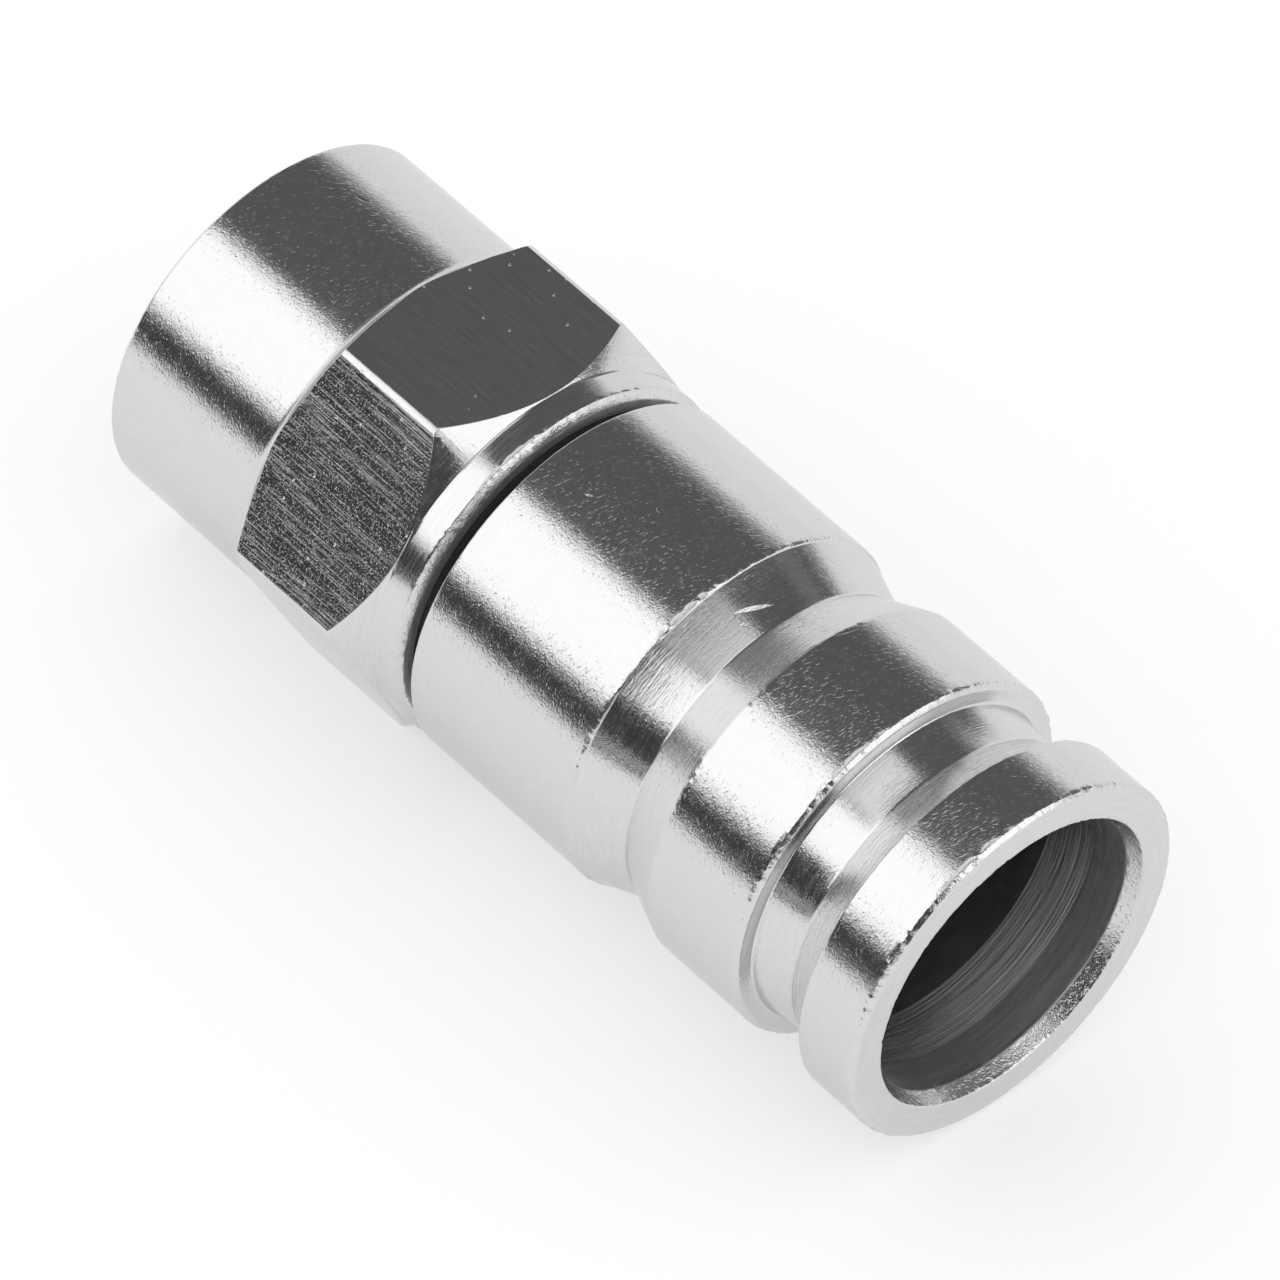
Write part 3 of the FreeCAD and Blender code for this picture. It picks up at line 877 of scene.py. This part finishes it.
class CONNECTOR_OT_connector_body(bpy.types.Operator):
    """Body with its two barrels, folding neck, groove, flange and cable mouth."""

    bl_idname = "connector.connector_body"
    bl_label = "Connector Body"

    def execute(self, context):
        size = context.scene.connector_body
        finish = context.scene.connector_finish
        finishes = {
            "barrel": tumbled_nickel("body", finish, nicks=BODY_NICKS),
            "rim": tumbled_nickel("body_rim", finish, 2.0),
            "face": turned_nickel("body_face", finish, marks_share=0.5),
            "neck": turned_nickel("neck", finish, rate=18.0, wander=9.0, marks_share=0.8, nicks=NECK_NICKS),
            "shoulder": turned_nickel("shoulder", finish, rate=18.0, marks_share=0.4),
            "groove": turned_nickel("groove", finish, rate=18.0, marks_share=0.85),
            "ramp": turned_nickel("ramp", finish, rate=16.0, marks_share=0.6),
            "lead_in": tumbled_nickel("lead_in", finish, 2.6),
            "mouth": turned_nickel("mouth", finish, rate=20.0, wander=2.0, marks_share=0.25, skin_share=0.0,
                                   roughness=finish.bore_roughness + 0.14),
            "mouth_cone": turned_nickel("mouth_cone", finish, rate=14.0, wander=1.0, marks_share=2.0,
                                        skin_share=0.1, roughness=finish.bore_roughness + 0.06),
            # Painted shade: the deep bore's colour is darkened to 0.35 of the nickel in place of the shadow
            # inside it.
            "bore": turned_nickel("body_bore", finish, rate=6.0, marks_share=0.05, skin_share=0.05,
                                  roughness=0.5, shade=0.35),
        }
        mesh = turned_mesh("connector_body_finished", even_turns(size.columns),
                           lambda turn: body_section(size, finish, turn), finishes)
        add_piece(mesh, "connector_body", "connector")
        return {"FINISHED"}


# Inner post and seal ring

def post_section(size, finish):
    """The post's half section, the same at every angle."""
    chamfer = 0.12 * MM
    corners = [
        Corner(size.flange_front, size.bore_radius, "post", soft=0.06),
        *corners_of("post", (size.flange_front, size.flange_radius - chamfer),
                    (size.flange_front + chamfer, size.flange_radius), (size.seat, size.flange_radius),
                    (size.seat, size.shank_radius), (size.shank_end, size.shank_radius),
                    (size.shank_end, size.tube_radius), (size.barb_start - size.barb_face, size.tube_radius),
                    (size.barb_start, size.barb_radius), (size.tube_end, size.tube_end_radius),
                    (size.tube_end, size.bore_radius)),
    ]
    return trace(corners, finish.edge)


class CONNECTOR_OT_inner_post(bpy.types.Operator):
    """Post with its contact flange, pressed shank and barbed tube."""

    bl_idname = "connector.inner_post"
    bl_label = "Inner Post"

    def execute(self, context):
        size = context.scene.connector_post
        finish = context.scene.connector_finish
        finishes = {"post": turned_nickel("post", finish, rate=11.0, marks_share=0.4)}
        mesh = turned_mesh("inner_post_finished", even_turns(size.columns),
                           lambda turn: post_section(size, finish), finishes)
        add_piece(mesh, "inner_post", "connector")
        return {"FINISHED"}


class CONNECTOR_OT_seal_ring(bpy.types.Operator):
    """Rubber seal ring in the gap between nut and body."""

    bl_idname = "connector.seal_ring"
    bl_label = "Seal Ring"

    def execute(self, context):
        ring = frame["nodes"]["nut_seal_ring"]
        ring.data.materials.clear()
        ring.data.materials.append(moulded_rubber("seal_rubber", context.scene.connector_finish))
        return {"FINISHED"}


# Stage

def view_only(nodes):
    """1 for what the camera or a mirror-like surface sees directly, and 0 for light falling on things."""
    path = nodes.add("ShaderNodeLightPath")
    return nodes.math("MAXIMUM", path.outputs["Is Camera Ray"], path.outputs["Is Glossy Ray"])


def light_the_room(stage):
    """A white room."""
    world = bpy.data.worlds.new("white_room")
    bpy.context.scene.world = world
    world.use_nodes = True
    nodes = Nodes(world.node_tree)
    background = world.node_tree.nodes["Background"]
    background.inputs["Color"].default_value = WHITE
    path = nodes.add("ShaderNodeLightPath")
    nodes.feed(background.inputs["Strength"],
               nodes.ramp(path.outputs["Is Camera Ray"], 0.0, 1.0, stage.sky, 1.0))


def add_sheet(name, corners, faces, material):
    """A thin piece of the stage."""
    mesh = bpy.data.meshes.new(name)
    mesh.from_pydata(corners, [], faces)
    mesh.materials.append(material)
    sheet = link_new(name, mesh)
    return sheet


def level_rectangle(near, far, reach, height):
    """The corners of a level rectangle beside the axis, and its one face."""
    corners = [(-reach, near, height), (reach, near, height), (reach, far, height), (-reach, far, height)]
    return corners, [(0, 1, 2, 3)]


def lay_floor(stage):
    """A plain pale table that keeps the connector's shadow."""
    half = 3.0
    material, nodes, shader = new_material("table_top")
    for label, value in (("Base Color", (*stage.floor_colour, 1.0)), ("Roughness", 1.0),
                         ("Specular IOR Level", 0.0), ("Emission Color", WHITE)):
        shader.inputs[label].default_value = value
    nodes.feed(shader.inputs["Emission Strength"], nodes.times(view_only(nodes), stage.floor_glow))
    add_sheet("table_top", *level_rectangle(-half, half, half, 0.0), material)


def reflected(name, glow, corners, faces):
    """A card or softbox of one even brightness, seen only in reflections."""
    material, nodes, emission = new_material(name, "ShaderNodeEmission")
    emission.inputs["Color"].default_value = WHITE
    emission.inputs["Strength"].default_value = glow
    piece = add_sheet(name, corners, faces, material)
    piece.visible_camera = False
    piece.visible_diffuse = False
    piece.visible_shadow = False


def curved_card(name, glow, distance, outline):
    """A card bent round the connector's axis. Each row of its outline gives a place along the axis, as a
    share of the distance, and the lowest and highest angle there."""
    steps = 14
    corners = []
    for along, low, high in outline:
        for step in range(steps + 1):
            turn = math.radians(low + (high - low) * step / steps)
            across, up = distance * math.cos(turn), distance * math.sin(turn)
            corners.append((along * distance, across, AXIS_HEIGHT + up))
    faces = []
    for row in range(len(outline) - 1):
        for step in range(steps):
            first = row * (steps + 1) + step
            faces.append((first, first + 1, first + steps + 2, first + steps + 1))
    reflected(name, glow, corners, faces)


def lay_cards(stage, rows):
    """Curved cards from rows of name, brightness setting, its factor, and outline."""
    for name, setting, factor, outline in rows:
        curved_card(name, factor * getattr(stage, setting), stage.card_distance, outline)


def soft_lamp(name, glow, distance, turn, width, near_end, far_end):
    """A large soft lamp that faces the connector, not seen itself."""
    reach = far_end - near_end
    data = bpy.data.lights.new(name, "AREA")
    data.shape = "RECTANGLE"
    data.size = reach
    data.size_y = width
    data.energy = glow * math.pi * reach * width
    lamp = link_new(name, data)
    outward = Vector((0.0, math.cos(turn), math.sin(turn)))
    along = Vector((1.0, 0.0, 0.0))
    side = outward.cross(along)
    middle = Vector(((near_end + far_end) / 2, 0.0, AXIS_HEIGHT)) + outward * distance
    lamp.matrix_world = Matrix((along, side, outward)).transposed().to_4x4()
    lamp.matrix_world.translation = middle
    lamp.visible_camera = False
    lamp.visible_glossy = False


def aim_camera(stage):
    """The photograph's view: heading, elevation and roll round the aim point."""
    data = bpy.data.cameras.new("camera")
    data.lens = stage.lens
    data.sensor_width = 36.0
    data.clip_start = 0.01
    data.clip_end = 20.0
    camera = link_new("camera", data)
    level = math.cos(stage.elevation)
    back = Vector((math.sin(stage.heading) * level, -math.cos(stage.heading) * level,
                   math.sin(stage.elevation)))
    upright = back.to_track_quat("Z", "Y").to_matrix()
    turned = upright @ Matrix.Rotation(stage.roll, 3, "Z")
    camera.matrix_world = Matrix.Translation(Vector(stage.aim) + back * stage.distance) @ turned.to_4x4()
    bpy.context.scene.camera = camera


def band(start, end, low, high):
    """The outline of a card with the same angles along its whole length."""
    return [(start, low, high), (end, low, high)]


NEAR_CARDS = (
    ("overhead_card", "overhead_shade", 1.0, band(-1.3, -0.31, 34, 107) + band(-0.25, 0.35, 42, 79)),
    ("overhead_fade", "fade_shade", 1.0, band(-1.3, -0.31, 27, 34)),
    ("near_fade", "fade_shade", 1.0, band(-0.25, 0.35, 16, 23)),
    ("near_edge", "overhead_shade", 1.0, band(-0.25, 0.35, 23, 31)),
    ("near_strip", "strip_shade", 1.0, band(-0.25, 0.35, 31, 42)),
    ("near_veil", "veil_shade", 1.0, band(0.08, 0.35, 79, 116)),
    ("far_veil", "veil_shade", 1.45, band(-0.25, 0.08, 79, 116)),
    ("softbox_frame", "fade_shade", 1.0, band(-0.25, 0.35, 116, 119)),
    ("softbox", "softbox_glow", 1.0, band(-1.3, -0.40, 111, 161) + band(-0.25, 0.32, 122, 152)),
    ("low_card", "low_shade", 1.0, band(-1.3, -0.42, 166, 181) + band(-0.25, 0.60, 153, 179)),
)
FAR_CARDS = (
    ("far_overhead_card", "far_shade", 1.0, [(-2.9, 49, 93), (-1.3, 37, 99)]),
    ("far_softbox", "softbox_glow", 0.8, [(-3.4, 99, 158), (-1.3, 108, 161)]),
    ("far_low_card", "far_shade", 0.7, [(-2.9, 162, 180), (-1.3, 163, 180)]),
    ("mouth_card", "strip_shade", 1.0, band(0.36, 0.60, 20, 114)),
    ("rear_softbox", "softbox_glow", 1.0, band(0.60, 2.7, 30, 108)),
    ("camera_and_stand", "camera_shade", 1.0, band(0.36, 0.60, 116, 152)),
    ("rear_stand", "camera_shade", 1.0, band(0.60, 2.7, 116, 172)),
)


class CONNECTOR_OT_stage(bpy.types.Operator):
    """Table, white room, soft lamp, dark cards and camera."""

    bl_idname = "connector.stage"
    bl_label = "Stage"

    def execute(self, context):
        stage = context.scene.connector_stage
        distance = stage.card_distance
        context.scene.view_settings.view_transform = "Standard"
        light_the_room(stage)
        lay_floor(stage)
        lay_cards(stage, NEAR_CARDS)
        reflected("table_card", stage.low_shade,
                  *level_rectangle(-distance, -TABLE_CARD_GAP, 1.3 * distance, TABLE_CARD_HEIGHT))
        lay_cards(stage, FAR_CARDS)
        soft_lamp("soft_lamp", stage.lamp_glow, distance, math.radians(135.0), width=0.23, near_end=-0.25,
                  far_end=0.15)
        aim_camera(stage)
        return {"FINISHED"}


class CONNECTOR_PT_panel(bpy.types.Panel):
    """Lists the connector's pieces and the stage."""

    bl_idname = "CONNECTOR_PT_panel"
    bl_label = "F Connector"
    bl_space_type = "VIEW_3D"
    bl_region_type = "UI"
    bl_category = "Connector"

    def draw(self, context):
        for operator in OPERATORS:
            self.layout.operator(operator.bl_idname)


OPERATORS = (CONNECTOR_OT_coupling_nut, CONNECTOR_OT_connector_body, CONNECTOR_OT_inner_post,
             CONNECTOR_OT_seal_ring, CONNECTOR_OT_stage)


def register():
    for group in PROPERTY_GROUPS.values():
        bpy.utils.register_class(group)
    for name, group in PROPERTY_GROUPS.items():
        setattr(bpy.types.Scene, name, PointerProperty(type=group))
    for operator in OPERATORS:
        bpy.utils.register_class(operator)
    bpy.utils.register_class(CONNECTOR_PT_panel)


def unregister():
    bpy.utils.unregister_class(CONNECTOR_PT_panel)
    for operator in reversed(OPERATORS):
        bpy.utils.unregister_class(operator)
    for name, group in reversed(PROPERTY_GROUPS.items()):
        delattr(bpy.types.Scene, name)
        bpy.utils.unregister_class(group)


def main():
    register()
    bpy.ops.connector.coupling_nut()
    bpy.ops.connector.connector_body()
    bpy.ops.connector.inner_post()
    bpy.ops.connector.seal_ring()
    bpy.ops.connector.stage()


if __name__ == "__main__":
    main()
